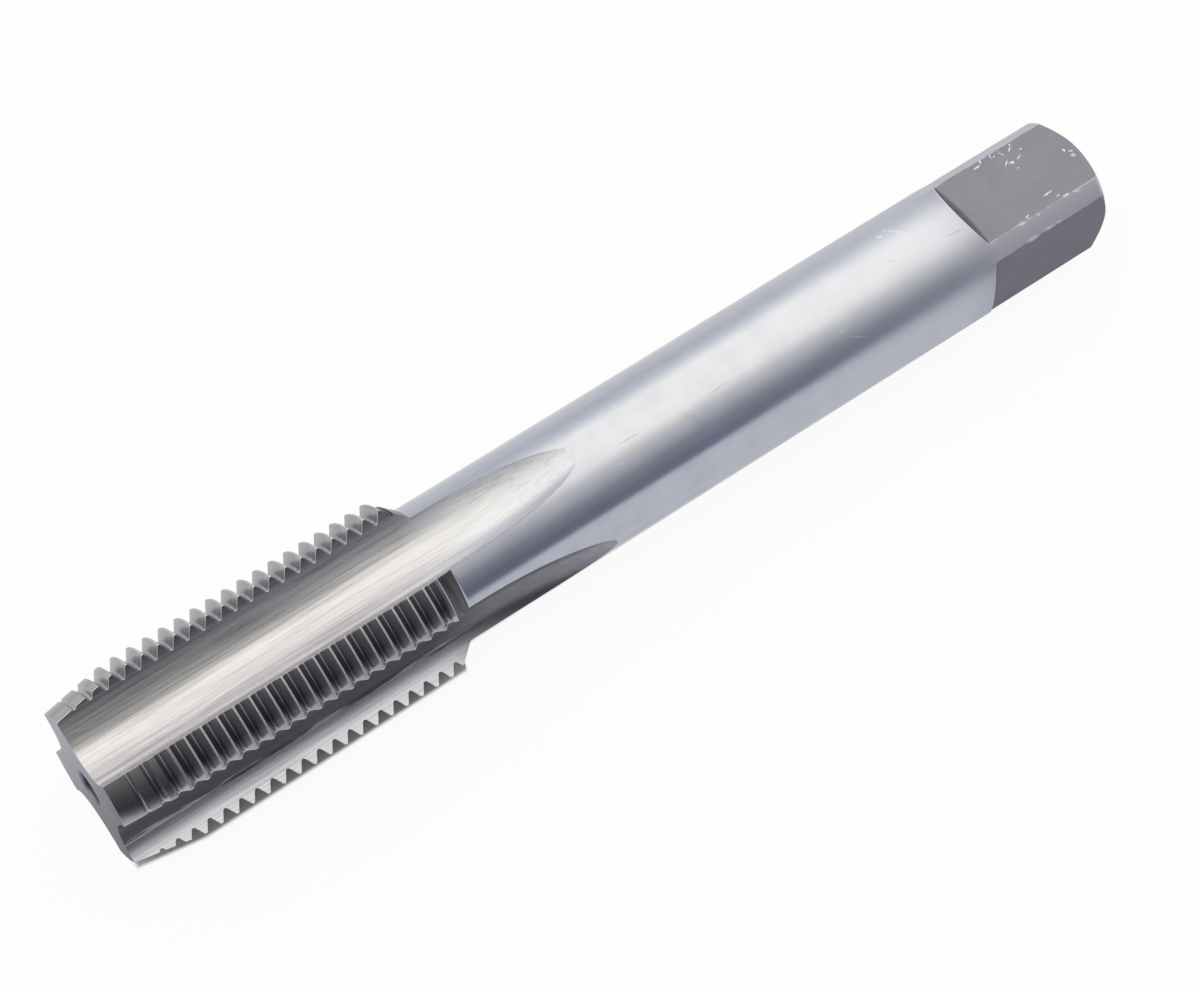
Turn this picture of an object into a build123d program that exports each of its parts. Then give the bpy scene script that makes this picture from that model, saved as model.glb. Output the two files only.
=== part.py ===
from build123d import *
from math import atan2, cos, degrees, radians, sin, sqrt, tan
import os

os.makedirs("parts", exist_ok=True)

# Straight-fluted hand tap, M16 x 1.5, right hand.
# Sizes are in millimetres, angles in degrees.

# Overall
overall_length = 102.0
shank_radius = 6.25

# Thread
thread_radius = 8.0
thread_length = 31.0
pitch = 1.5
tip_radius = 6.9
lead_length = 6.0
crest_flat = pitch / 8
flank_angle = 30.0
groove_depth = 0.92
groove_overlap = 0.08
groove_arc = 50.0
groove_turns = 24
first_groove_x = -0.58
taper_length = 2.0
taper_foot_radius = 0.35

# Flutes
flute_count = 4
land_angle = 29.5
rake_angle = 2.0
heel_slope = 48.9
heel_radius = 8.9
flute_root_radius = 3.14
flute_top = 10.0
flute_end = 34.0
wheel_centre_height = 50.2
wheel_sweep = 25.0

# Drive square
square_count = 4
square_across_flats = 10.0
square_length = 13.0
shoulder_slope = 35.0
shoulder_radius = 0.5
end_chamfer_length = 1.0
end_chamfer_depth = 1.3

# Centre holes
centre_mouth_radius = 1.675
centre_pilot_radius = 0.8
centre_depth = 4.0
centre_cone_angle = 30.0
centre_point_angle = 59.0

# Room left past the ends by every cutting tool
clearance = 2.0

# One pass of the thread groove over one land: a 60 degree vee with a flat root
half_gap = (pitch - crest_flat) / 2
flank_slope = tan(radians(flank_angle))
half_mouth = half_gap + groove_overlap * flank_slope
half_root = half_gap - groove_depth * flank_slope
groove_advance = pitch * groove_arc / 360
with BuildPart() as land_groove:
    with BuildLine() as groove_path:
        Helix(pitch=pitch, height=groove_advance, radius=thread_radius, direction=(1, 0, 0))
    with BuildSketch(Plane(groove_path.line @ 0, x_dir=(0, 0, 1), z_dir=groove_path.line % 0)):
        with BuildLine():
            Polyline(
                (-groove_depth, -half_root),
                (groove_overlap, -half_mouth),
                (groove_overlap, half_mouth),
                (-groove_depth, half_root),
                close=True,
            )
        make_face()
    sweep(is_frenet=True)

# Flute cutter for the flute that faces up: flat cutting face at -Y, hollow heel at +Y, rounded root between
flute_half_angle = (360 / flute_count - land_angle) / 2
edge_y = thread_radius * sin(radians(flute_half_angle))
edge_z = thread_radius * cos(radians(flute_half_angle))
face_slope = tan(radians(flute_half_angle - rake_angle))
heel_centre_y = edge_y - heel_radius * sin(radians(heel_slope))
heel_centre_z = edge_z + heel_radius * cos(radians(heel_slope))
# The heel's arc meets the cutting face's line in the corner that the root radius then rounds
face_angle = flute_half_angle - rake_angle
mouth_to_centre_y = heel_centre_y + edge_y
mouth_to_centre_z = heel_centre_z - edge_z
down_face = mouth_to_centre_y * sin(radians(face_angle)) - mouth_to_centre_z * cos(radians(face_angle))
off_face = mouth_to_centre_y * cos(radians(face_angle)) + mouth_to_centre_z * sin(radians(face_angle))
face_length = down_face + sqrt(heel_radius**2 - off_face**2)
corner_y = -edge_y + face_length * sin(radians(face_angle))
corner_z = edge_z - face_length * cos(radians(face_angle))
heel_top_y = heel_centre_y + sqrt(heel_radius**2 - (heel_centre_z - flute_top) ** 2)
face_top_y = -edge_y - (flute_top - edge_z) * face_slope
with BuildPart() as flute_cutter:
    with BuildSketch(Plane.YZ.offset(flute_end)) as flute_section:
        with BuildLine():
            Polyline((heel_top_y, flute_top), (face_top_y, flute_top), (corner_y, corner_z))
            ThreePointArc((corner_y, corner_z), (edge_y, edge_z), (heel_top_y, flute_top))
        make_face()
        flute_root = flute_section.vertices().sort_by(Axis.Y)[0]
        fillet(flute_root, radius=flute_root_radius)
    extrude(amount=-(flute_end + clearance))
    # The run-out is the path of the grinding wheel as it leaves the work
    revolve(
        flute_section.sketch,
        axis=Axis((flute_end, 0, wheel_centre_height), (0, -1, 0)),
        revolution_arc=wheel_sweep,
    )

# Cutter for one flat of the drive square, with its sloped and rounded shoulder
half_flats = square_across_flats / 2
shoulder_foot = overall_length - square_length
shoulder_lean = tan(radians(shoulder_slope))
with BuildPart() as flat_cutter:
    with BuildSketch(Plane.XZ) as flat_section:
        with BuildLine():
            Polyline(
                (shoulder_foot, half_flats),
                (shoulder_foot - (thread_radius - half_flats) * shoulder_lean, thread_radius),
                (overall_length + clearance, thread_radius),
                (overall_length + clearance, half_flats),
                close=True,
            )
        make_face()
        shoulder_corner = flat_section.vertices().sort_by_distance((shoulder_foot, half_flats, 0))[0]
        fillet(shoulder_corner, radius=shoulder_radius)
    extrude(amount=thread_radius, both=True)

# Centre hole: 60 degree mouth, pilot bore and drill point
mouth_depth = (centre_mouth_radius - centre_pilot_radius) / tan(radians(centre_cone_angle))
point_length = centre_pilot_radius / tan(radians(centre_point_angle))
with BuildPart() as centre_hole:
    with BuildSketch(Plane.XY):
        with BuildLine():
            Polyline(
                (0, 0),
                (0, centre_mouth_radius),
                (mouth_depth, centre_pilot_radius),
                (centre_depth, centre_pilot_radius),
                (centre_depth + point_length, 0),
                close=True,
            )
        make_face()
    revolve(axis=Axis.X)

# The tap on its own axis: turned blank, then thread, flutes, square and centre holes
taper_foot = thread_length + taper_length
with BuildPart() as tap:
    with BuildSketch(Plane.XY) as blank_half:
        with BuildLine():
            Polyline(
                (0, 0),
                (0, tip_radius),
                (lead_length, thread_radius),
                (thread_length, thread_radius),
                (taper_foot, shank_radius),
                (overall_length - end_chamfer_length, shank_radius),
                (overall_length, shank_radius - end_chamfer_depth),
                (overall_length, 0),
                close=True,
            )
        make_face()
        foot_corner = blank_half.vertices().sort_by_distance((taper_foot, shank_radius, 0))[0]
        fillet(foot_corner, radius=taper_foot_radius)
    revolve(axis=Axis.X)
    for flute in range(flute_count):
        with Locations(Location((0, 0, 0), (flute * 360 / flute_count, 0, 0))):
            add(flute_cutter.part, mode=Mode.SUBTRACT)
    for flat in range(square_count):
        with Locations(Location((0, 0, 0), (flat * 360 / square_count, 0, 0))):
            add(flat_cutter.part, mode=Mode.SUBTRACT)
    # The grooves of neighbouring lands are a part turn and a part pitch apart, as on one helix
    for land in range(flute_count):
        land_turn = (land + 0.5) * 360 / flute_count - groove_arc / 2
        land_x = first_groove_x + land * pitch / flute_count - groove_advance / 2
        groove_places = [
            Location((land_x + turn * pitch, 0, 0), (land_turn, 0, 0))
            for turn in range(groove_turns)
        ]
        with Locations(*groove_places):
            add(land_groove.part, mode=Mode.SUBTRACT)
    add(centre_hole.part, mode=Mode.SUBTRACT)
    with Locations(Location((overall_length, 0, 0), (0, 180, 0))):
        add(centre_hole.part, mode=Mode.SUBTRACT)

# Lying at rest: two land edges at the back of the thread and the last of the round shank touch down
shoulder_top = shoulder_foot - (shank_radius - half_flats) * shoulder_lean
rest_tilt = atan2(edge_z - shank_radius, shoulder_top - thread_length)
rest_height = edge_z * cos(rest_tilt) + thread_length * sin(rest_tilt)
tip_x = -tip_radius * sin(radians(90 - flute_half_angle)) * sin(rest_tilt)
end_x = overall_length * cos(rest_tilt) + half_flats * sin(rest_tilt)
with BuildPart() as thread_tap:
    with Locations(Location((-(tip_x + end_x) / 2, 0, rest_height), (0, degrees(rest_tilt), 0))):
        add(tap.part)

thread_tap.part.label = "thread_tap"
export_step(thread_tap.part, "parts/thread_tap.step")
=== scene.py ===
import math
import bmesh
import bpy
from mathutils import Matrix, Vector


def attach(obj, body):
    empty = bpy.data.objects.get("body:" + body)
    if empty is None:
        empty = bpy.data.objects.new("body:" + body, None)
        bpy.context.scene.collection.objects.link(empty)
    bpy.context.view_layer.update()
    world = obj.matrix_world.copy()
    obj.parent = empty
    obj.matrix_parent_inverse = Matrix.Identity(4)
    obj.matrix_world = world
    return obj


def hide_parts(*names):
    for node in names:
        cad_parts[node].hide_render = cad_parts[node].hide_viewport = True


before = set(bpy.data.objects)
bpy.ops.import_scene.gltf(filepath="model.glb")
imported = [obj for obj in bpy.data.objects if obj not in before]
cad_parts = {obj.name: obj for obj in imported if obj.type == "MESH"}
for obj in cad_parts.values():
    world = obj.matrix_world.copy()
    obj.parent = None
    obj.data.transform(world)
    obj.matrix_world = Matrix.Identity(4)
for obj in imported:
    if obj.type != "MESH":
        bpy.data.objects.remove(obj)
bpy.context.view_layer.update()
mm = 0.001
same = 1e-4  # millimetres: closer points are one point

# Millimetres along the tap's own axis: x from the tip face, turned parts by radius
tap = {
    "length": 102.0,
    "shankRadius": 6.25,
    "threadRadius": 8.0,
    "threadEnd": 31.0,
    "taperLength": 2.0,
    "tipRadius": 6.9,
    "leadLength": 6.0,
    "footFillet": 0.35,
    "endChamferLength": 1.0,
    "endChamferDepth": 1.3,
    "footSegments": 4,
    "tipBreak": 0.06,
    "tipBreakSegments": 2,
    "roundSteps": 192,
    "sharpAngle": 28.0,
}
centreHole = {
    "mouthRadius": 1.675,
    "pilotRadius": 0.8,
    "depth": 4.0,
    "coneAngle": 30.0,
    "pointAngle": 59.0,
}
thread = {
    "pitch": 1.5,
    "turns": 24,
    "stepsPerTurn": 144,
    "firstX": -1.1425,  # groove's middle in the XZ plane, before it meets the tip
    "flankAngle": 30.0,
    "halfWidth": 7 / 16,  # at full radius, in pitches
    "crestBreak": 0.02,
    "breakAngle": 60.0,
    "rootBevel": 0.42,
    "rootSegments": 5,
    "above": 0.08,  # how far the groove's cutter stands out of the work
    "topGap": 0.06,  # between two turns of the cutter there
}
flute = {
    "count": 4,
    "halfMouth": 4.03019,  # half the gap between two lands
    "mouthHeight": 6.91068,
    "faceLean": 28.25,
    "heelSlope": 48.9,  # at the mouth; the heel is hollow ground and flattens towards the root
    "heelRadius": 8.9,
    "heelSteps": 18,
    "rootRadius": 3.14,
    "rootSteps": 26,
    "top": 8.6,
    "start": -2.0,
    "end": 34.0,
    "wheelHeight": 50.2,
    "wheelSweep": 25.0,
    "wheelSteps": 40,
}
square = {
    "flats": 4,
    "halfFlats": 5.0,
    "shoulderX": 89.0,
    "shoulderSlope": 35.0,
    "shoulderBevel": 0.25,  # about half the fillet's radius, at this slope
    "shoulderSegments": 6,
    "halfWidth": 4.5,
    "top": 7.0,
    "past": 2.0,
}
# The tap's material slots, in order
finishes = ["groundShank", "turnedEnd", "cutThread", "groundFlute", "milledSquare"]
slotOf = {name: slot for slot, name in enumerate(finishes)}


def toRow():
    # It rests on the back corners of two lands and on the round where a shoulder starts
    slope = math.tan(math.radians(square["shoulderSlope"]))
    shoulderTop = square["shoulderX"] - (tap["shankRadius"] - square["halfFlats"]) * slope
    tilt = math.atan2(flute["mouthHeight"] - tap["shankRadius"], shoulderTop - tap["threadEnd"])
    height = flute["mouthHeight"] * math.cos(tilt) + tap["threadEnd"] * math.sin(tilt)
    tipX = -tap["tipRadius"] * flute["mouthHeight"] / tap["threadRadius"] * math.sin(tilt)
    endX = tap["length"] * math.cos(tilt) + square["halfFlats"] * math.sin(tilt)
    place = Vector((-(tipX + endX) / 2, 0, height))
    return Matrix.Translation(place) @ Matrix.Rotation(tilt, 4, "Y"), tilt, place


rowFromTap, restTilt, restPlace = toRow()


def asObject(bm, name):
    bmesh.ops.remove_doubles(bm, verts=bm.verts, dist=same / 10)
    bmesh.ops.recalc_face_normals(bm, faces=bm.faces)
    mesh = bpy.data.meshes.new(name)
    bm.to_mesh(mesh)
    bm.free()
    obj = bpy.data.objects.new(name, mesh)
    bpy.context.scene.collection.objects.link(obj)
    for finish in finishes:
        mesh.materials.append(bpy.data.materials.get(finish) or bpy.data.materials.new(finish))
    return obj


def turnedBlank():
    mouthDepth = (centreHole["mouthRadius"] - centreHole["pilotRadius"]) / math.tan(
        math.radians(centreHole["coneAngle"])
    )
    pointDepth = centreHole["pilotRadius"] / math.tan(math.radians(centreHole["pointAngle"]))
    hole = [
        (centreHole["depth"] + pointDepth, 0),
        (centreHole["depth"], centreHole["pilotRadius"]),
        (mouthDepth, centreHole["pilotRadius"]),
        (0, centreHole["mouthRadius"]),
    ]
    foot = tap["threadEnd"] + tap["taperLength"]
    taperAngle = math.atan2(tap["threadRadius"] - tap["shankRadius"], tap["taperLength"])
    outline = [
        *hole,
        (0, tap["tipRadius"]),
        (tap["leadLength"], tap["threadRadius"]),
        (tap["threadEnd"], tap["threadRadius"]),
        (foot, tap["shankRadius"]),
        (tap["length"] - tap["endChamferLength"], tap["shankRadius"]),
        (tap["length"], tap["shankRadius"] - tap["endChamferDepth"]),
        *[(tap["length"] - x, radius) for x, radius in reversed(hole)],
    ]
    bm = bmesh.new()
    verts = [bm.verts.new((x, 0, radius)) for x, radius in outline]
    edges = [bm.edges.new(pair) for pair in zip(verts, verts[1:])]
    bmesh.ops.spin(
        bm, geom=verts + edges, cent=(0, 0, 0), axis=(1, 0, 0), angle=math.tau,
        steps=tap["roundSteps"], use_merge=True,
    )
    bmesh.ops.remove_doubles(bm, verts=bm.verts, dist=same / 10)
    footOffset = tap["footFillet"] * math.tan(taperAngle / 2)
    for x, radius, offset, segments in (
        (foot, tap["shankRadius"], footOffset, tap["footSegments"]),
        (0, tap["tipRadius"], tap["tipBreak"], tap["tipBreakSegments"]),
    ):
        ring = [
            e for e in bm.edges
            if all(abs(v.co.x - x) < same and abs(v.co.yz.length - radius) < same for v in e.verts)
        ]
        bmesh.ops.bevel(
            bm, geom=ring, offset=offset, segments=segments, profile=0.5,
            affect="EDGES", material=-1,
        )
    for f in bm.faces:
        middle = f.calc_center_median()
        fromEnd = min(middle.x, tap["length"] - middle.x)
        if fromEnd < same or middle.yz.length < centreHole["mouthRadius"]:
            f.material_index = slotOf["turnedEnd"]
        elif middle.x < foot - footOffset:
            f.material_index = slotOf["cutThread"]
        elif middle.x > square["shoulderX"]:
            f.material_index = slotOf["milledSquare"]
    return asObject(bm, "tap")


def threadGroove():
    # The grinding wheel's section, swept along the helix
    half = thread["pitch"] * thread["halfWidth"]
    slope = math.tan(math.radians(thread["flankAngle"]))
    broken = half - thread["crestBreak"] * slope
    flare = broken + thread["crestBreak"] * math.tan(math.radians(thread["breakAngle"]))
    top = tap["threadRadius"] + thread["above"]
    right = [
        (broken, tap["threadRadius"] - thread["crestBreak"]),
        (flare, tap["threadRadius"]),
        ((thread["pitch"] - thread["topGap"]) / 2, top),
    ]
    section = [
        (0, tap["threadRadius"] - half / slope),
        *right,
        *[(-x, z) for x, z in reversed(right)],
    ]
    bm = bmesh.new()
    verts = [bm.verts.new((thread["firstX"] + x, 0, z)) for x, z in section]
    bm.faces.new(verts)
    bmesh.ops.bevel(
        bm, geom=[verts[0]], offset=thread["rootBevel"], segments=thread["rootSegments"],
        profile=0.5, affect="VERTICES", material=-1,
    )
    bmesh.ops.delete(bm, geom=bm.faces[:], context="FACES_ONLY")
    # A half step's turn keeps the groove's rings off the blank's own
    halfStep = Matrix.Rotation(math.pi / thread["stepsPerTurn"], 4, "X")
    bmesh.ops.rotate(bm, verts=bm.verts, cent=(0, 0, 0), matrix=halfStep)
    bmesh.ops.spin(
        bm, geom=bm.verts[:] + bm.edges[:], cent=(0, 0, 0), axis=(1, 0, 0),
        dvec=(thread["pitch"] / thread["stepsPerTurn"], 0, 0),
        angle=math.tau, steps=thread["stepsPerTurn"], use_merge=False,
    )
    oneTurn = bm.verts[:] + bm.edges[:] + bm.faces[:]
    for turn in range(1, thread["turns"]):
        copy = bmesh.ops.duplicate(bm, geom=oneTurn)["geom"]
        points = [g for g in copy if isinstance(g, bmesh.types.BMVert)]
        bmesh.ops.translate(bm, verts=points, vec=(turn * thread["pitch"], 0, 0))
    bmesh.ops.remove_doubles(bm, verts=bm.verts, dist=same / 10)
    bmesh.ops.holes_fill(bm, edges=[e for e in bm.edges if e.is_boundary], sides=0)
    for f in bm.faces:
        f.material_index = slotOf["cutThread"]
    return asObject(bm, "threadGroove")


def fluteSection(bm):
    # Heel arc, root arc and straight cutting face, from the heel's top round to the face's top
    slope = math.radians(flute["heelSlope"])
    lean = math.radians(flute["faceLean"])
    heelEdge = Vector((flute["halfMouth"], flute["mouthHeight"]))
    faceEdge = Vector((-flute["halfMouth"], flute["mouthHeight"]))
    heelCentre = heelEdge + flute["heelRadius"] * Vector((-math.sin(slope), math.cos(slope)))
    offFace = Vector((math.cos(lean), math.sin(lean)))
    downFace = Vector((math.sin(lean), -math.cos(lean)))
    start = faceEdge + flute["rootRadius"] * offFace - heelCentre
    along = start.dot(downFace)
    reach = flute["heelRadius"] - flute["rootRadius"]
    slide = math.sqrt(along**2 - start.length_squared + reach**2) - along
    rootCentre = heelCentre + start + slide * downFace
    drop = heelCentre.y - flute["top"]
    heelTop = Vector((math.sqrt(flute["heelRadius"] ** 2 - drop**2), -drop))
    toRoot = rootCentre - heelCentre
    corner = last = bm.verts.new((flute["start"], *(heelCentre + heelTop)))
    for centre, begin, finish, steps in (
        (heelCentre, heelTop, toRoot, flute["heelSteps"]),
        (rootCentre, toRoot, -offFace, flute["rootSteps"]),
    ):
        spun = bmesh.ops.spin(
            bm, geom=[last], cent=(flute["start"], *centre),
            axis=(1, 0, 0), angle=finish.angle_signed(begin), steps=steps,
        )
        last = next(g for g in spun["geom_last"] if isinstance(g, bmesh.types.BMVert))
    faceTop = faceEdge - downFace * (flute["top"] - flute["mouthHeight"]) / math.cos(lean)
    faceCorner = bm.verts.new((flute["start"], *faceTop))
    bm.edges.new((last, faceCorner))
    bm.edges.new((faceCorner, corner))
    bmesh.ops.edgenet_fill(bm, edges=bm.edges)


def fluteCutters():
    bm = bmesh.new()
    for turn in range(flute["count"]):
        part = bmesh.new()
        fluteSection(part)
        wall = bmesh.ops.extrude_face_region(part, geom=part.faces[:])["geom"]
        moved = [g for g in wall if isinstance(g, bmesh.types.BMVert)]
        bmesh.ops.translate(part, verts=moved, vec=(flute["end"] - flute["start"], 0, 0))
        # The wheel leaves the work on its own radius
        bmesh.ops.spin(
            part, geom=wall, cent=(flute["end"], 0, flute["wheelHeight"]), axis=(0, 1, 0),
            angle=-math.radians(flute["wheelSweep"]), steps=flute["wheelSteps"], use_merge=False,
        )
        quarter = Matrix.Rotation(math.radians(turn * 360 / flute["count"]), 4, "X")
        bmesh.ops.rotate(part, verts=part.verts, cent=(0, 0, 0), matrix=quarter)
        joinInto(bm, part)
    for f in bm.faces:
        f.material_index = slotOf["groundFlute"]
    return asObject(bm, "fluteCutters")


def joinInto(bm, part):
    mesh = bpy.data.meshes.new("part")
    part.to_mesh(mesh)
    part.free()
    bm.from_mesh(mesh)
    bpy.data.meshes.remove(mesh)


def squareCutters():
    bm = bmesh.new()
    lean = math.tan(math.radians(square["shoulderSlope"]))
    shoulderX = square["shoulderX"]
    rise = square["top"] - square["halfFlats"]
    farX = tap["length"] + square["past"]
    outline = [
        (shoulderX, square["halfFlats"]),
        (farX, square["halfFlats"]),
        (farX, square["top"]),
        (shoulderX - rise * lean, square["top"]),
    ]
    for turn in range(square["flats"]):
        part = bmesh.new()
        verts = [part.verts.new((x, -square["halfWidth"], z)) for x, z in outline]
        part.faces.new(verts)
        bmesh.ops.bevel(
            part, geom=[verts[0]], offset=square["shoulderBevel"],
            segments=square["shoulderSegments"], profile=0.5, affect="VERTICES", material=-1,
        )
        wall = bmesh.ops.extrude_face_region(part, geom=part.faces[:])["geom"]
        moved = [g for g in wall if isinstance(g, bmesh.types.BMVert)]
        bmesh.ops.translate(part, verts=moved, vec=(0, 2 * square["halfWidth"], 0))
        quarter = Matrix.Rotation(math.radians(turn * 360 / square["flats"]), 4, "X")
        bmesh.ops.rotate(part, verts=part.verts, cent=(0, 0, 0), matrix=quarter)
        joinInto(bm, part)
    for f in bm.faces:
        f.material_index = slotOf["milledSquare"]
    return asObject(bm, "squareCutters")


def cutAway(blank, cutters):
    for cutter in cutters:
        cut = blank.modifiers.new(cutter.name, "BOOLEAN")
        cut.operation = "DIFFERENCE"
        cut.solver = "EXACT"
        cut.object = cutter
    bpy.context.view_layer.update()
    shaped = blank.evaluated_get(bpy.context.evaluated_depsgraph_get())
    mesh = bpy.data.meshes.new_from_object(shaped)
    blank.modifiers.clear()
    old = blank.data
    blank.data = mesh
    bpy.data.meshes.remove(old)
    for cutter in cutters:
        scrap = cutter.data
        bpy.data.objects.remove(cutter)
        bpy.data.meshes.remove(scrap)


def makeTap():
    blank = turnedBlank()
    cutAway(blank, [threadGroove(), fluteCutters(), squareCutters()])
    bm = bmesh.new()
    bm.from_mesh(blank.data)
    bmesh.ops.remove_doubles(bm, verts=bm.verts, dist=same)
    bmesh.ops.dissolve_degenerate(bm, edges=bm.edges, dist=same)
    unclosed = [e for e in bm.edges if len(e.link_faces) != 2]
    print("tap:", len(bm.verts), "points,", len(bm.faces), "faces,", len(unclosed), "open edges")
    bmesh.ops.transform(bm, matrix=Matrix.Scale(mm, 4) @ rowFromTap, verts=bm.verts)
    bm.to_mesh(blank.data)
    bm.free()
    blank.data.shade_smooth()
    blank.data.set_sharp_from_angle(angle=math.radians(tap["sharpAngle"]))
    return blank


# Shader maths: a Field is one output socket, and arithmetic on it adds Math nodes
class Field:
    def __init__(self, shop, socket):
        self.shop = shop
        self.socket = socket

    def maths(self, operation, *values):
        return self.shop.add("ShaderNodeMath", {"operation": operation}, dict(enumerate(values)))

    def __add__(self, other):
        return self.maths("ADD", self, other)

    def __radd__(self, other):
        return self.maths("ADD", other, self)

    def __sub__(self, other):
        return self.maths("SUBTRACT", self, other)

    def __rsub__(self, other):
        return self.maths("SUBTRACT", other, self)

    def __mul__(self, other):
        return self.maths("MULTIPLY", self, other)

    def __rmul__(self, other):
        return self.maths("MULTIPLY", other, self)

    def __truediv__(self, other):
        return self.maths("DIVIDE", self, other)

    def __pow__(self, other):
        return self.maths("POWER", self, other)

    def __abs__(self):
        return self.maths("ABSOLUTE", self)

    def least(self, other):
        return self.maths("MINIMUM", self, other)

    def most(self, other):
        return self.maths("MAXIMUM", self, other)

    # 0 below low, 1 above high, eased between
    def rise(self, low, high):
        return self.shop.add(
            "ShaderNodeMapRange", {"interpolation_type": "SMOOTHSTEP"},
            {"Value": self, "From Min": low, "From Max": high},
        )

    def fall(self, low, high):
        return self.shop.add(
            "ShaderNodeMapRange", {"interpolation_type": "SMOOTHSTEP"},
            {"Value": self, "From Min": low, "From Max": high, "To Min": 1.0, "To Max": 0.0},
        )


class Shop:
    def __init__(self, tree):
        self.tree = tree
        tree.nodes.clear()

    def add(self, kind, settings=None, sockets=None, output=0):
        node = self.tree.nodes.new(kind)
        for name, value in (settings or {}).items():
            if name == "stops":
                # A ramp's two ends come first, then the stops between them
                ramp = node.color_ramp
                for at, colour in value[2:]:
                    ramp.elements.new(at).color = colour
                for element, (at, colour) in zip((ramp.elements[0], ramp.elements[-1]), value[:2]):
                    element.position = at
                    element.color = colour
            else:
                setattr(node, name, value)
        for name, value in (sockets or {}).items():
            if isinstance(value, Field):
                self.tree.links.new(value.socket, node.inputs[name])
            else:
                node.inputs[name].default_value = value
        return Field(self, node.outputs[output])

    def blend(self, amount, first, second):
        return self.add("ShaderNodeMix", {"data_type": "RGBA"}, {0: amount, 6: first, 7: second}, 2)

    def noise(self, vector, scale, detail, roughness):
        return self.add(
            "ShaderNodeTexNoise", None,
            {"Vector": vector, "Scale": scale, "Detail": detail, "Roughness": roughness},
        )

    # Noise about zero, from minus to plus half the width
    def sway(self, vector, width, texture):
        return self.noise(vector, *texture) * width - width / 2

    def bump(self, height, distance):
        return self.add(
            "ShaderNodeBump", None, {"Height": height, "Distance": distance, "Strength": 1.0}
        )

    def vector(self, x, y, z):
        return self.add("ShaderNodeCombineXYZ", None, {0: x, 1: y, 2: z})

    def split(self, vector):
        node = self.add("ShaderNodeSeparateXYZ", None, {0: vector}).socket.node
        return [Field(self, out) for out in node.outputs]

    def finish(self, kind, surface):
        self.tree.links.new(surface.socket, self.tree.nodes.new(kind).inputs["Surface"])


def shade(colour):
    return (*colour, 1.0)


# Millimetres on the tap's own axis, out of the row's coordinates
class Around:
    def __init__(self, shop):
        here = shop.add("ShaderNodeTexCoord", output="Object")
        self.place = shop.add(
            "ShaderNodeMapping", {"vector_type": "POINT"},
            {
                "Vector": here,
                "Location": Matrix.Rotation(-restTilt, 3, "Y") @ -restPlace,
                "Rotation": (0, -restTilt, 0),
                "Scale": (1 / mm, 1 / mm, 1 / mm),
            },
        )
        self.x, self.y, self.z = shop.split(self.place)
        self.radius = (self.y * self.y + self.z * self.z) ** 0.5
        self.turn = self.z.maths("ARCTAN2", self.z, self.y) * math.degrees(1)
        # Degrees from the middle of the nearest flute or flat: the heel side is minus
        halfway = 180 / flute["count"]
        self.off = self.turn.maths("WRAP", self.turn, halfway, -halfway)
        swing = self.off * math.radians(-1)
        self.heelward = self.radius * swing.maths("SINE", swing)


def steel(name, build):
    material = bpy.data.materials.get(name) or bpy.data.materials.new(name)
    material.use_nodes = True
    shop = Shop(material.node_tree)
    surface = shop.add("ShaderNodeBsdfPrincipled", None, build(shop, Around(shop)))
    shop.finish("ShaderNodeOutputMaterial", surface)
    return material


# Noise drawn out along the tap, or round it
def drawn(shop, around, along, across, detail, roughness):
    place = shop.vector(around.x * along, around.y * across, around.z * across)
    return shop.noise(place, 1.0, detail, roughness)


softEdge = (0.45, 1.0)  # where an oval mark fades, in its half sizes
wobbleRound = 0.3  # the share of a mark's wobble that goes round the shank


# A soft-edged oval mark: long and wide are its half sizes, lean its turn in degrees
def spot(shop, plane, x, y, long, wide, lean):
    inside = shop.add(
        "ShaderNodeMapping", {"vector_type": "TEXTURE"},
        {
            "Vector": plane,
            "Location": (x, y, 0),
            "Rotation": (0, 0, math.radians(lean)),
            "Scale": (long, wide, 1),
        },
    )
    away = shop.add("ShaderNodeVectorMath", {"operation": "LENGTH"}, {0: inside}, "Value")
    return away.fall(*softEdge)


def marks(shop, plane, places):
    total = None
    for place in places:
        mark = spot(shop, plane, *place)
        total = mark if total is None else total.most(mark)
    return total


# Noises below are scale, detail and roughness; a pair is where a fade starts and ends
matte = {
    "colour": (0.231, 0.227, 0.287),
    "dark": (0.196, 0.192, 0.249),
    "corner": (0.416, 0.409, 0.501),
    "worn": (0.78, 0.79, 0.88),
    "roughness": 0.55,
    "grainRoughness": 0.1,
    "metallic": 0.45,
    "grain": (5.0, 4.0, 0.7),
    "cloud": (0.5, 3.0, 0.6),
    "cloudy": (0.35, 0.65),
    "wobble": (4.0, 3.0, 0.7),
    "wobbleWidth": 0.5,
    "ragged": (8.0, 3.0, 0.7),
    "kept": (0.34, 0.52),
    # Degrees off the long edges of the flats, rubbed bright in patches
    "cornerFade": (0.0, 0.5),
    "rubbedWidth": (0.1, 0.75),
    "patches": (0.45, 4.0, 0.75),
    "patchy": (0.38, 0.62),
    "rubbed": 0.5,
    "scuffed": 0.6,
    # x, degrees round, half length, half width, lean
    "scuffs": [
        (93.2, 143.0, 0.85, 0.3, 0),
        (95.0, 142.3, 0.8, 0.18, 3),
        (96.1, 142.0, 0.35, 0.14, 0),
        (92.8, 127.6, 0.5, 0.22, 10),
        (94.5, 127.9, 0.35, 0.16, 0),
        (97.8, 126.6, 0.5, 0.18, 0),
        (98.9, 128.2, 0.6, 0.14, 20),
        (101.2, 98.0, 0.3, 0.25, 70),
        (101.3, 92.5, 0.3, 0.15, 40),
    ],
}


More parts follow.
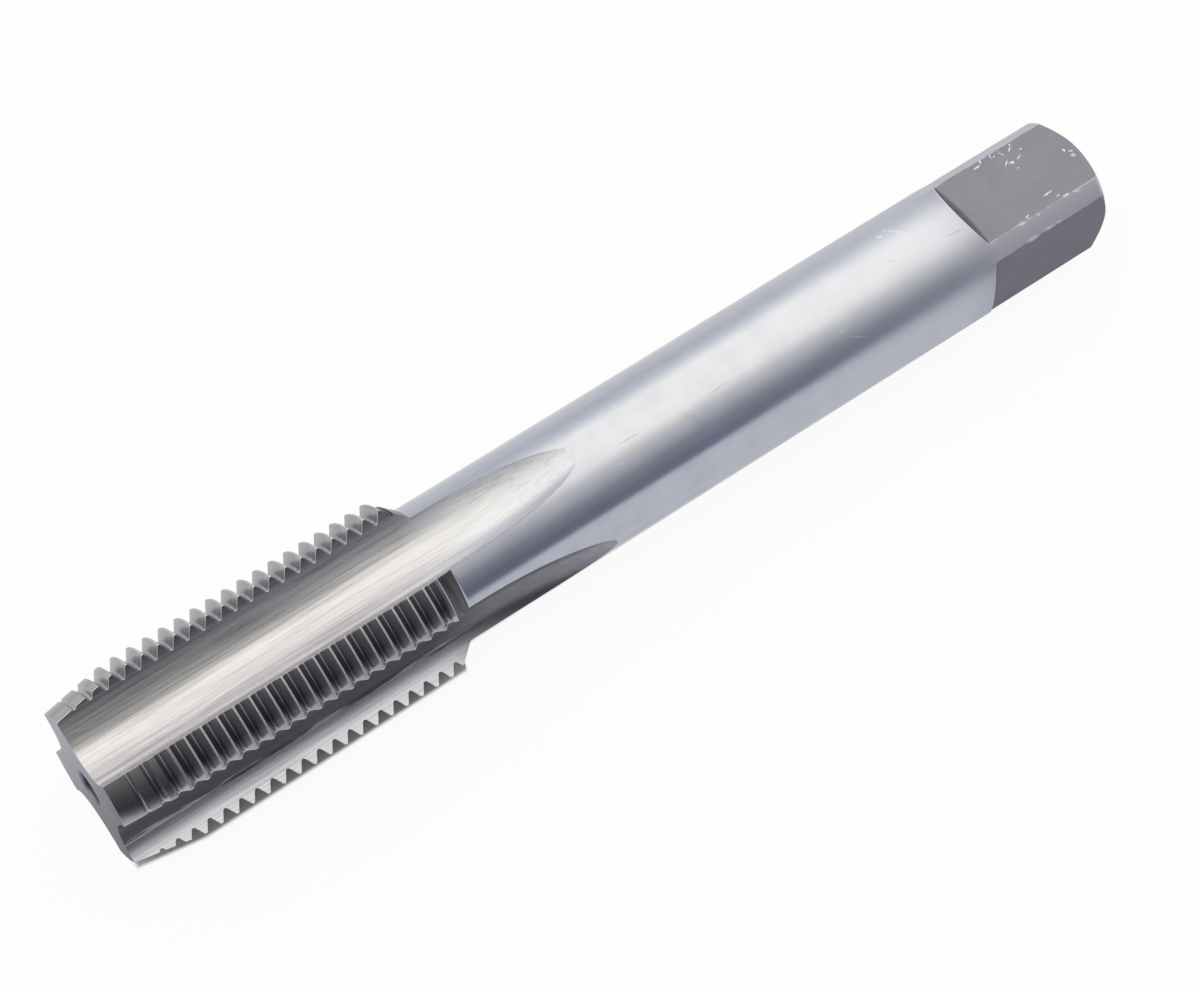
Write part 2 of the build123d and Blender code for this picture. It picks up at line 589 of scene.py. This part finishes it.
# Marks placed by x and by degrees round the shank
def roundMarks(shop, around, wobble, places):
    arc = math.radians(tap["shankRadius"])
    plane = shop.vector(around.x + wobble, around.turn * arc + wobble * wobbleRound, 0.0)
    return marks(shop, plane, [(x, turn * arc, *rest) for x, turn, *rest in places])


def matteFinish(shop, around):
    grain = shop.noise(around.place, *matte["grain"])
    cloud = shop.noise(around.place, *matte["cloud"]).rise(*matte["cloudy"])
    colour = shop.blend((grain + cloud) * 0.5, shade(matte["colour"]), shade(matte["dark"]))
    # The corners are the old round, rubbed lighter, with a bright line along each edge
    pastEdge = abs(around.off) - math.degrees(math.acos(square["halfFlats"] / tap["shankRadius"]))
    colour = shop.blend(pastEdge.rise(*matte["cornerFade"]), colour, shade(matte["corner"]))
    patches = shop.noise(around.place, *matte["patches"]).rise(*matte["patchy"])
    rubbed = abs(pastEdge).fall(*matte["rubbedWidth"]) * patches
    colour = shop.blend(rubbed * matte["rubbed"], colour, shade(matte["worn"]))
    wobble = shop.sway(around.place, matte["wobbleWidth"], matte["wobble"])
    ragged = shop.noise(around.place, *matte["ragged"]).rise(*matte["kept"])
    scuff = roundMarks(shop, around, wobble, matte["scuffs"]) * ragged
    return grain, shop.blend(scuff * matte["scuffed"], colour, shade(matte["worn"]))


shank = {
    "colour": (0.482, 0.494, 0.576),
    "hazy": (0.45, 0.463, 0.544),
    "handled": (0.54, 0.553, 0.643),
    "scuff": (0.72, 0.73, 0.83),
    "scratch": (0.333, 0.333, 0.378),
    "roughness": 0.15,
    "handledRoughness": 0.2,
    "hazeRoughness": 0.05,
    "ringRoughness": 0.03,
    "markRoughness": 0.25,
    "scuffMetallic": 0.35,
    "ringHeight": 7e-7,
    "rings": (4.0, 0.15, 3.0, 0.6),  # scale along, scale across, detail, roughness
    "haze": (0.35, 3.0, 0.6),
    "hazing": (0.35, 0.7),
    "wobble": (2.5, 3.0, 0.7),
    "wobbleWidth": 0.6,
    "ragged": (7.0, 3.0, 0.7),
    "kept": (0.36, 0.56),
    # Along the tap: worn by hands, then dulled towards the square
    "handling": (55.0, 92.0),
    "dulling": (84.0, 91.0),
    "dulled": (88.2, 90.6),
    "dulledBefore": 0.3,
    "handledBlend": 0.5,
    "scratched": 0.8,
    "scuffed": 0.6,
    "breakHighlightWidth": (0.03, 0.16),
    "breakHighlightBlend": 0.8,
    "pastFlat": 0.05,
    # x, degrees round, half length, half width, lean
    "scratches": [
        (51.7, 107.6, 1.4, 0.06, 3),
        (57.3, 118.5, 0.85, 0.05, 60),
        (57.6, 119.5, 0.75, 0.05, 60),
        (60.7, 110.7, 1.2, 0.06, -4),
        (86.9, 105.0, 1.0, 0.06, 2),
        (80.3, 96.0, 0.8, 0.04, 30),
    ],
    "scuffs": [
        (81.4, 72.0, 0.4, 0.25, 40),
        (82.2, 68.5, 0.25, 0.18, 10),
        (83.1, 80.5, 1.7, 0.2, 58),
        (84.1, 91.5, 0.34, 0.24, 0),
        (52.6, 78.0, 0.14, 0.12, 0),
        (50.0, 120.5, 0.2, 0.12, 0),
        (72.9, 124.0, 0.22, 0.12, 0),
        (74.2, 135.0, 1.2, 0.05, 32),
    ],
}


def groundShank(shop, around):
    rings = drawn(shop, around, *shank["rings"])
    haze = shop.noise(around.place, *shank["haze"])
    handled = around.x.rise(*shank["handling"])
    colour = shop.blend(haze.rise(*shank["hazing"]), shade(shank["colour"]), shade(shank["hazy"]))
    colour = shop.blend(handled * shank["handledBlend"], colour, shade(shank["handled"]))
    wobble = shop.sway(around.place, shank["wobbleWidth"], shank["wobble"])
    ragged = shop.noise(around.place, *shank["ragged"]).rise(*shank["kept"])
    scratch = roundMarks(shop, around, wobble, shank["scratches"]) * ragged
    scuff = roundMarks(shop, around, wobble, shank["scuffs"]) * ragged
    # A fine painted highlight where the shoulders of the square break the round
    out = abs(around.y).most(abs(around.z))
    slope = math.tan(math.radians(square["shoulderSlope"]))
    breakHighlight = abs(around.x + (out - square["halfFlats"]) * slope - square["shoulderX"])
    breakHighlight = breakHighlight.fall(*shank["breakHighlightWidth"])
    breakHighlight = breakHighlight * out.rise(square["halfFlats"], square["halfFlats"] + shank["pastFlat"])
    # scuff now holds the real scuffs and this painted highlight
    scuff = scuff.most(breakHighlight * shank["breakHighlightBlend"])
    colour = shop.blend(scratch * shank["scratched"], colour, shade(shank["scratch"]))
    colour = shop.blend(scuff * shank["scuffed"], colour, shade(shank["scuff"]))
    rough = shank["roughness"] + handled * shank["handledRoughness"]
    rough = rough + haze * shank["hazeRoughness"] + rings * shank["ringRoughness"]
    rough = rough + (scratch + scuff) * shank["markRoughness"]
    grain, dull = matteFinish(shop, around)
    dullRough = matte["roughness"] + grain * matte["grainRoughness"]
    before = shank["dulledBefore"]
    dulled = around.x.rise(*shank["dulling"]) * before
    dulled = dulled + around.x.rise(*shank["dulled"]) * (1 - before)
    return {
        "Base Color": shop.blend(dulled, colour, dull),
        "Roughness": rough * (1 - dulled) + dulled * dullRough,
        "Metallic": 1 - dulled * (1 - matte["metallic"]) - scuff * shank["scuffMetallic"],
        "Normal": shop.bump(rings, shank["ringHeight"]),
    }


drive = {
    # The shoulder's painted shade
    "shoulder": (0.07, 0.07, 0.085),
    "shoulderEdge": (89.3, 89.55),
    "shoulderBow": 0.3,  # at bowWidth from the middle of a flat
    "bowWidth": 4.0,
    "shoulderGrain": 0.1,
    "upper": (-0.1, -0.05),  # the flat that the chips are on, by height
    "combed": (9.0, 0.3, 2.0, 0.5),
    "wobble": (5.0, 2.0, 0.7),
    "wobbleWidth": 0.36,
    "ragged": (9.0, 3.0, 0.7),
    "kept": (0.34, 0.46),
    "chipMetallic": 0.35,
    "grainDepth": 0.35,
    "chipDepth": 2.0,
    "height": 8e-6,
    # x, y on the upper flat, half length, half width, lean
    "chips": [
        (93.5, 3.25, 0.46, 0.1, 5),
        (94.1, 3.55, 0.32, 0.08, 60),
        (95.2, 3.5, 0.34, 0.07, 75),
        (95.5, 3.3, 0.22, 0.06, 20),
        (96.15, 3.15, 0.42, 0.07, 110),
        (97.1, 3.1, 0.32, 0.09, 35),
        (97.4, 3.45, 0.15, 0.07, 0),
        (95.9, 2.1, 0.38, 0.07, 35),
        (96.3, 1.85, 0.3, 0.12, 150),
        (97.2, 1.95, 0.42, 0.07, 15),
        (97.9, 2.55, 0.13, 0.1, 0),
        (96.4, 1.06, 0.11, 0.07, 0),
        (100.85, 0.2, 0.14, 0.26, 0),
        (96.6, -2.6, 0.65, 0.1, 0),
        (93.6, -3.45, 0.3, 0.09, 20),
        (97.2, -3.3, 0.2, 0.08, -10),
    ],
}


def milledSquare(shop, around):
    grain, colour = matteFinish(shop, around)
    upper = around.z.rise(*[square["halfFlats"] + past for past in drive["upper"]])
    wobble = shop.sway(around.place, drive["wobbleWidth"], drive["wobble"])
    plane = shop.vector(around.x + wobble, around.y + wobble, 0.0)
    ragged = shop.noise(around.place, *drive["ragged"]).rise(*drive["kept"])
    chipped = marks(shop, plane, drive["chips"]) * upper * ragged
    # Painted shade on the shoulder's fillet, widest in the middle of each flat
    across = (abs(around.y).least(abs(around.z)) / drive["bowWidth"]) ** 2
    shoulder = around.x + across * drive["shoulderBow"] + grain * drive["shoulderGrain"]
    shoulder = shoulder.fall(*drive["shoulderEdge"])
    combed = drawn(shop, around, *drive["combed"])
    colour = shop.blend(shoulder * (combed * 0.5 + 0.5), colour, shade(drive["shoulder"]))
    colour = shop.blend(chipped, colour, shade(matte["worn"]))
    height = grain * drive["grainDepth"] - chipped * drive["chipDepth"]
    return {
        "Base Color": colour,
        "Roughness": matte["roughness"] + grain * matte["grainRoughness"],
        "Metallic": matte["metallic"] - chipped * drive["chipMetallic"],
        "Normal": shop.bump(height, drive["height"]),
    }


cut = {
    "colour": (0.335, 0.33, 0.352),
    "root": (0.276, 0.276, 0.3),
    "crestHighlight": (0.733, 0.733, 0.822),
    "highlightColour": (0.8, 0.8, 0.81),
    "taperShade": (0.06, 0.06, 0.069),
    "rubbed": (0.5, 0.495, 0.52),
    "roughness": 0.19,
    "ringRoughness": 0.08,
    "brightRoughness": 0.25,
    "brightMetallic": 0.25,
    "ringHeight": 1.4e-6,
    "rings": (9.0, 0.2, 3.0, 0.6),
    "uneven": (1.6, 3.0, 0.7),
    # Depths below the outside, in millimetres
    "crestDepth": (0.0, 0.012),
    "leadDepth": (0.02, 0.06),
    "rootDepth": (0.3, 0.85),
    # Degrees round from the middle of a flute
    "heelDrift": 1.98,  # how far the heel's edge moves for each millimetre of depth
    "faceDrift": 0.28,
    "faceHighlight": (0.2, 0.9),
    "heelHighlight": (0.4, 0.9),
    "heelStart": (-38.5, -36.5),
    "heelEnd": (-1.0, 1.0),
    # Along the tap, from the end of the lead and of the thread
    "leadEnd": (-1.0, 0.4),
    "taperStart": (-0.3, 0.1),
    "lipAt": 0.08,
    "lipWidth": (0.08, 0.2),
    # How strongly each colour is laid on
    "leadBlend": 0.5,
    "heelBlend": 0.16,
    "heelUneven": 0.4,
    "heelOnLead": 0.1,
    "taperRings": (0.35, 0.6),
    "taperUneven": 0.2,
    "lipBlend": 0.6,
    "crestBlend": 0.3,
    "highlightBlend": 0.3,
    "highlightUneven": 0.6,
}


def cutThread(shop, around):
    lead = (tap["threadRadius"] - tap["tipRadius"]) / tap["leadLength"]
    outside = (tap["tipRadius"] + around.x * lead).least(tap["threadRadius"])
    depth = outside - around.radius
    rings = drawn(shop, around, *cut["rings"])
    uneven = shop.noise(around.place, *cut["uneven"])
    fullThread = around.x.rise(*[tap["leadLength"] + past for past in cut["leadEnd"]])
    onTaper = around.x.rise(*[tap["threadEnd"] + past for past in cut["taperStart"]])
    # Painted highlight along the crests of the full thread
    crestHighlight = depth.fall(*cut["crestDepth"]) * fullThread * (1 - onTaper)
    # Painted highlights along both edges of each land
    halfMouth = math.degrees(math.atan2(flute["halfMouth"], flute["mouthHeight"]))
    deep = tap["threadRadius"] - around.radius
    fromHeel = abs(deep * cut["heelDrift"] - around.off - halfMouth)
    fromFace = abs(around.off - halfMouth - deep * cut["faceDrift"])
    near, far = cut["heelHighlight"]
    edgeHighlight = fromHeel.fall(near, uneven + far).most(fromFace.fall(*cut["faceHighlight"]))
    edgeHighlight = edgeHighlight * (1 - onTaper)
    # The heel of each land is rubbed lighter, and the lead's flats get painted shade
    heelStrip = around.off.fall(*cut["heelEnd"]) * around.off.rise(*cut["heelStart"])
    onLead = (1 - fullThread) * depth.fall(*cut["leadDepth"])
    rubbed = uneven * cut["heelUneven"] + onLead * cut["heelOnLead"] + cut["heelBlend"]
    tapered = rings.rise(*cut["taperRings"]) * cut["taperUneven"] + (1 - cut["taperUneven"])
    # A painted highlight in a ring at the thread's end
    lipHighlight = abs(around.x - tap["threadEnd"] - cut["lipAt"]).fall(*cut["lipWidth"])
    highlightBlend = uneven * cut["highlightUneven"] + cut["highlightBlend"]
    # Painted shade, darker deeper in the grooves and on the lead's flats
    colour = shop.blend(depth.rise(*cut["rootDepth"]), shade(cut["colour"]), shade(cut["root"]))
    colour = shop.blend(onLead * cut["leadBlend"], colour, shade(cut["root"]))
    colour = shop.blend(heelStrip * rubbed, colour, shade(cut["rubbed"]))
    # Painted dark reflection on the taper behind the thread
    colour = shop.blend(onTaper * tapered, colour, shade(cut["taperShade"]))
    colour = shop.blend(lipHighlight * cut["lipBlend"], colour, shade(cut["highlightColour"]))
    colour = shop.blend(crestHighlight * cut["crestBlend"], colour, shade(cut["crestHighlight"]))
    colour = shop.blend(edgeHighlight * highlightBlend, colour, shade(cut["highlightColour"]))
    bright = crestHighlight.most(edgeHighlight)
    rough = cut["roughness"] + rings * cut["ringRoughness"] + bright * cut["brightRoughness"]
    return {
        "Base Color": colour,
        "Roughness": rough,
        "Metallic": 1 - bright * cut["brightMetallic"],
        "Normal": shop.bump(rings, cut["ringHeight"]),
    }


channel = {
    # Millimetres across the flute from its middle, cutting face minus and heel plus; the bands
    # paint the flute's highlights and shade across it
    "half": 4.0,
    "paintedShading": [
        (-4.0, (0.79, 0.775, 0.84)),
        (4.0, (0.27, 0.27, 0.29)),
        (-3.3, (0.68, 0.665, 0.73)),
        (-2.9, (0.79, 0.772, 0.835)),
        (-2.5, (0.95, 0.93, 0.98)),
        (-1.9, (0.68, 0.66, 0.72)),
        (-1.25, (0.41, 0.4, 0.445)),
        (-0.3, (0.5, 0.487, 0.54)),
        (0.5, (0.61, 0.592, 0.65)),
        (1.2, (0.52, 0.51, 0.555)),
        (1.9, (0.4, 0.392, 0.425)),
        (2.5, (0.335, 0.33, 0.355)),
        (3.2, (0.3, 0.295, 0.315)),
    ],
    # The run-out's colours: a painted highlight, with painted shade down the middle
    "runOut": (0.6, 0.6, 0.66),
    "runOutMiddleShade": (0.535, 0.535, 0.6),
    "runOutHeel": (0.565, 0.563, 0.625),
    "fluteDark": (0.045, 0.045, 0.053),
    "glintColour": (0.75, 0.74, 0.76),
    "roughness": 0.24,
    "streakRoughness": 0.12,
    "shadedRoughness": 0.1,
    "streakHeight": 2.2e-6,
    # Scale along, scale across, detail, roughness
    "streaks": (0.1, 5.0, 6.0, 0.7),
    "hairs": (0.35, 14.0, 3.0, 0.6),
    "broad": (0.12, 1.8, 4.0, 0.65),
    "broadWidth": 1.6,
    "streaked": (0.4, 0.72),
    "glinting": (0.62, 0.76),
    # Across the flute
    "middleAt": -0.45,
    "middleWidth": (0.4, 1.5),
    "heelFrom": (0.9, 2.0),
    "markedFrom": (0.4, 1.6),
    "glintFrom": (0.6, 2.0),
    "patchFrom": (0.8, 1.4),
    "patchTo": (1.9, 2.5),
    "shadeFrom": (-2.75, -2.35),
    "shadeThin": (-1.5, -0.8),
    # Along the tap
    "patchEnd": (16.0, 30.0),
    "leavingEarly": (8.0, 34.0),
    "leaving": (29.0, 38.0),
    "ending": (37.0, 48.0),
    "shadedTurn": (134.0, 136.0),  # degrees round, past which the shaded flute lies
    # How strongly each colour is laid on
    "endingBlend": 0.85,
    "earlyBlend": 0.16,
    "patchBlend": 0.3,
    "shadeBlend": 0.93,
    "shadeThinner": 0.1,
    "shadeOnRunOut": -0.22,
    "shadeAtEnd": -0.2,
    "markBlend": 0.25,
    "markOnHeel": 0.3,
    "markOnRunOut": -0.5,
    "glintBlend": 0.5,
    "hairDepth": 0.4,
}


def groundFlute(shop, around):
    streaks = drawn(shop, around, *channel["streaks"])
    hairs = drawn(shop, around, *channel["hairs"])
    across = around.heelward + drawn(shop, around, *channel["broad"]) * channel["broadWidth"]
    across = across - channel["broadWidth"] / 2
    width = channel["half"] * 2
    # The flute's highlights and shade are painted in bands across it
    stops = [(at / width + 0.5, shade(colour)) for at, colour in channel["paintedShading"]]
    paintedShades = shop.add("ShaderNodeValToRGB", {"stops": stops}, {0: across / width + 0.5})
    # Past the thread the flute runs out into the shank; there it is painted light enough to meet
    # the shank's highlight, with painted shade down its middle
    runOut = around.x.rise(*channel["leaving"])
    ending = around.x.rise(*channel["ending"])
    middle = abs(around.heelward - channel["middleAt"]).fall(*channel["middleWidth"])
    heelSide = around.heelward.rise(*channel["heelFrom"])
    leaving = shop.blend(middle, shade(channel["runOut"]), shade(channel["runOutMiddleShade"]))
    leaving = shop.blend(heelSide, leaving, shade(channel["runOutHeel"]))
    leaving = shop.blend(ending * channel["endingBlend"], leaving, shade(shank["colour"]))
    early = around.x.rise(*channel["leavingEarly"]) * channel["earlyBlend"]
    colour = shop.blend(runOut.most(early), paintedShades, leaving)
    # Darker along the heel side, near the tip
    patch = around.heelward.rise(*channel["patchFrom"]) * around.heelward.fall(*channel["patchTo"])
    patch = patch * around.x.fall(*channel["patchEnd"])
    colour = shop.blend(patch * channel["patchBlend"], colour, shade(channel["fluteDark"]))
    # Painted shade on the flute that faces the front, except by the cutting edge
    kept = across.rise(*channel["shadeFrom"]) * (1 - runOut) + runOut
    shadedFlute = abs(around.turn).rise(*channel["shadedTurn"]) * kept
    shadeStrength = channel["shadeBlend"] - across.rise(*channel["shadeThin"]) * channel["shadeThinner"]
    shadeStrength = shadeStrength + runOut * channel["shadeOnRunOut"] + ending * channel["shadeAtEnd"]
    colour = shop.blend(shadedFlute * shadeStrength, colour, shade(channel["fluteDark"]))
    # Grinding marks, darker, with fine painted glints along the hairlines on the heel side
    mark = streaks.rise(*channel["streaked"])
    marked = around.heelward.rise(*channel["markedFrom"]) * channel["markOnHeel"]
    marked = (marked + channel["markBlend"]) * (1 + runOut * channel["markOnRunOut"])
    colour = shop.blend(mark * marked, colour, shade(channel["fluteDark"]))
    glint = hairs.rise(*channel["glinting"]) * around.heelward.rise(*channel["glintFrom"])
    glint = glint * (1 - runOut) * channel["glintBlend"]
    colour = shop.blend(glint, colour, shade(channel["glintColour"]))
    rough = channel["roughness"] + mark * channel["streakRoughness"]
    return {
        "Base Color": colour,
        "Roughness": rough + shadedFlute * channel["shadedRoughness"],
        "Metallic": 1.0,
        "Normal": shop.bump(streaks + hairs * channel["hairDepth"], channel["streakHeight"]),
    }


turned = {
    "dark": (0.088, 0.092, 0.112),
    "light": (0.36, 0.372, 0.45),
    "fade": (-6.5, 6.5),
    "shadeAcross": 0.85,
    "shadeUp": 0.52,
    "bore": (0.03, 0.03, 0.036),
    "boreDepth": 0.85,
    "boreEdge": (-0.15, -0.05),
    "lathe": (1.0, 3.0, 0.6),
    "latheScale": 6.0,
    "latheHeight": 3e-6,
    "latheRoughness": 0.1,
    "roughness": 0.42,
    "metallic": 0.8,
}


def turnedEnd(shop, around):
    out = shop.vector(around.radius * turned["latheScale"], 0.0, 0.0)
    lathe = shop.noise(out, *turned["lathe"])
    # Painted shade inside the centre hole
    bore = around.radius.fall(*[centreHole["mouthRadius"] + past for past in turned["boreEdge"]])
    # Painted shade: darker low down on the front than at the back
    back = around.y * turned["shadeAcross"] + around.z * turned["shadeUp"]
    colour = shop.blend(back.rise(*turned["fade"]), shade(turned["dark"]), shade(turned["light"]))
    return {
        "Base Color": shop.blend(bore * turned["boreDepth"], colour, shade(turned["bore"])),
        "Roughness": turned["roughness"] + lathe * turned["latheRoughness"],
        "Metallic": turned["metallic"],
        "Normal": shop.bump(lathe, turned["latheHeight"]),
    }


builders = {
    "groundShank": groundShank,
    "turnedEnd": turnedEnd,
    "cutThread": cutThread,
    "groundFlute": groundFlute,
    "milledSquare": milledSquare,
}
for name in finishes:
    steel(name, builders[name])
print("finishes made")

tapPiece = makeTap()
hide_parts("thread_tap")
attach(tapPiece, "root")
print("tap made")

# A big plain pale sheet
floorSettings = {
    "half": 3.0,
    "colour": (0.62, 0.623, 0.66),
    # The dark strip beneath the tap, in the row's millimetres
    "stripStart": -50.8,
    "stripEnd": 50.6,
    "threadEnd": -18.0,
    "shankReach": 3.35,
    "threadReach": 5.45,
    "tipReach": 4.4,
    "leadSlope": 0.17,
    "softness": 0.5,
    "endFade": 0.5,
    "widenOver": 1.0,
    "lift": 0.94,  # how white the floor is outside the strip
    "mirrored": 0.75,  # and how much of that the steel mirrors
}


def makeFloor():
    bm = bmesh.new()
    bmesh.ops.create_grid(bm, x_segments=1, y_segments=1, size=floorSettings["half"])
    mesh = bpy.data.meshes.new("floor")
    bm.to_mesh(mesh)
    bm.free()
    floor = bpy.data.objects.new("floor", mesh)
    bpy.context.scene.collection.objects.link(floor)
    material = bpy.data.materials.new("paleFloor")
    material.use_nodes = True
    shop = Shop(material.node_tree)
    lit = shop.add("ShaderNodeBsdfDiffuse", None, {"Color": shade(floorSettings["colour"])})
    white = shop.add("ShaderNodeEmission", None, {"Color": shade((1, 1, 1)), "Strength": 1.0})
    path = shop.add("ShaderNodeLightPath", output="Is Camera Ray").socket.node
    rays = ("Is Camera Ray", "Is Glossy Ray", "Is Transmission Ray")
    eye, glossy, through = (Field(shop, path.outputs[ray]) for ray in rays)
    # The shadow is left whole in the strip under the tap, which is wider beneath the thread
    x, y, z = shop.split(shop.add("ShaderNodeTexCoord", output="Object"))
    along = x / mm
    start, end = floorSettings["stripStart"], floorSettings["stripEnd"]
    threadEnd, fade = floorSettings["threadEnd"], floorSettings["endFade"]
    shankReach = floorSettings["shankReach"]
    leadReach = (along - start) * floorSettings["leadSlope"] + floorSettings["tipReach"]
    threadReach = leadReach.least(floorSettings["threadReach"])
    widen = along.fall(threadEnd - floorSettings["widenOver"], threadEnd)
    reach = widen * (threadReach - shankReach) + shankReach
    beside = (abs(y) / mm - reach).rise(0.0, floorSettings["softness"])
    beyond = along.fall(start, start + fade).most(along.rise(end - fade, end))
    lift = beside.most(beyond) * floorSettings["lift"]
    whitened = (eye + through).most(glossy * floorSettings["mirrored"]) * lift
    surface = shop.add("ShaderNodeMixShader", None, {0: whitened, 1: lit, 2: white})
    shop.finish("ShaderNodeOutputMaterial", surface)
    mesh.materials.append(material)
    return floor


makeFloor()
print("floor made")

studio = {
    "strength": 1.755,
    # Degrees off straight up, across the tap: minus is the camera's side
    "levels": [
        (-180, 0.18, "cool"),
        (180, 0.792, "plain"),
        (-90, 0.18, "cool"),
        (-75, 0.185, "cool"),
        (-60, 0.33, "pale"),
        (-52, 0.513, "plain"),
        (-44, 0.675, "plain"),
        (-36, 0.819, "plain"),
        (-28, 1.026, "warm"),
        (-20, 1.35, "warm"),
        (-12, 1.656, "warm"),
        (42, 1.755, "warm"),
        (50, 1.53, "warm"),
        (60, 1.098, "plain"),
        (71, 0.918, "plain"),
        (82, 0.846, "plain"),
        (95, 0.81, "plain"),
    ],
    "tints": {
        "warm": (1.0, 0.985, 0.86),
        "plain": (1.0, 1.0, 1.0),
        "pale": (1.0, 1.01, 1.1),
        "cool": (0.98, 1.03, 1.28),
    },
    # The low band on the camera's side darkens and climbs towards the tip
    "lowBand": (-74, -54),
    "climb": 130,
    "climbFrom": 0.15,
    "climbMost": 44,
    "dimmest": 0.42,
    "brightest": 1.7,
    "dimSlope": 8.0,
    "dimOffset": 1.67,
}


def makeStudio():
    world = bpy.data.worlds.new("studio")
    bpy.context.scene.world = world
    world.use_nodes = True
    shop = Shop(world.node_tree)
    x, y, z = shop.split(shop.add("ShaderNodeTexCoord", output="Generated"))
    lean = y.maths("ARCTAN2", y, z) / math.tau + 0.5
    stops = []
    for degrees, level, tint in studio["levels"]:
        colour = [level / studio["strength"] * part for part in studio["tints"][tint]]
        stops.append((degrees / 360 + 0.5, shade(colour)))
    ramp = shop.add("ShaderNodeValToRGB", {"stops": stops}, {0: lean})
    climb = (studio["climbFrom"] - x).most(0.0) * studio["climb"]
    climb = climb.least(studio["climbMost"]) / 360
    low = (lean - climb).fall(*[degrees / 360 + 0.5 for degrees in studio["lowBand"]])
    dim = x * studio["dimSlope"] - studio["dimOffset"]
    dim = dim.most(studio["dimmest"]).least(studio["brightest"])
    level = (1 - low + low * dim) * studio["strength"]
    glow = shop.add("ShaderNodeBackground", None, {"Color": ramp, "Strength": level})
    shop.finish("ShaderNodeOutputWorld", glow)


makeStudio()
print("studio lit")

cameraSettings = {
    "lens": 94.7,
    "azimuth": -34.88,
    "elevation": 58.49,
    "roll": -1.57,
    "distance": 263.9,
    "clipStart": 0.01,
    "aim": (-2.4, -2.2, 7.3),
}


def makeCamera():
    data = bpy.data.cameras.new("camera")
    data.lens = cameraSettings["lens"]
    data.sensor_fit = "HORIZONTAL"
    data.clip_start = cameraSettings["clipStart"]
    camera = bpy.data.objects.new("camera", data)
    bpy.context.scene.collection.objects.link(camera)
    # Azimuth 0 looks along +Y; roll turns about the line of sight
    aimed = (
        Matrix.Rotation(math.radians(cameraSettings["azimuth"]), 4, "Z")
        @ Matrix.Rotation(math.radians(90 - cameraSettings["elevation"]), 4, "X")
        @ Matrix.Rotation(math.radians(cameraSettings["roll"]), 4, "Z")
    )
    back = aimed @ Vector((0, 0, cameraSettings["distance"] * mm))
    camera.matrix_world = Matrix.Translation(Vector(cameraSettings["aim"]) * mm + back) @ aimed
    bpy.context.scene.camera = camera


makeCamera()
bpy.context.scene.view_settings.view_transform = "Standard"
print("camera placed")
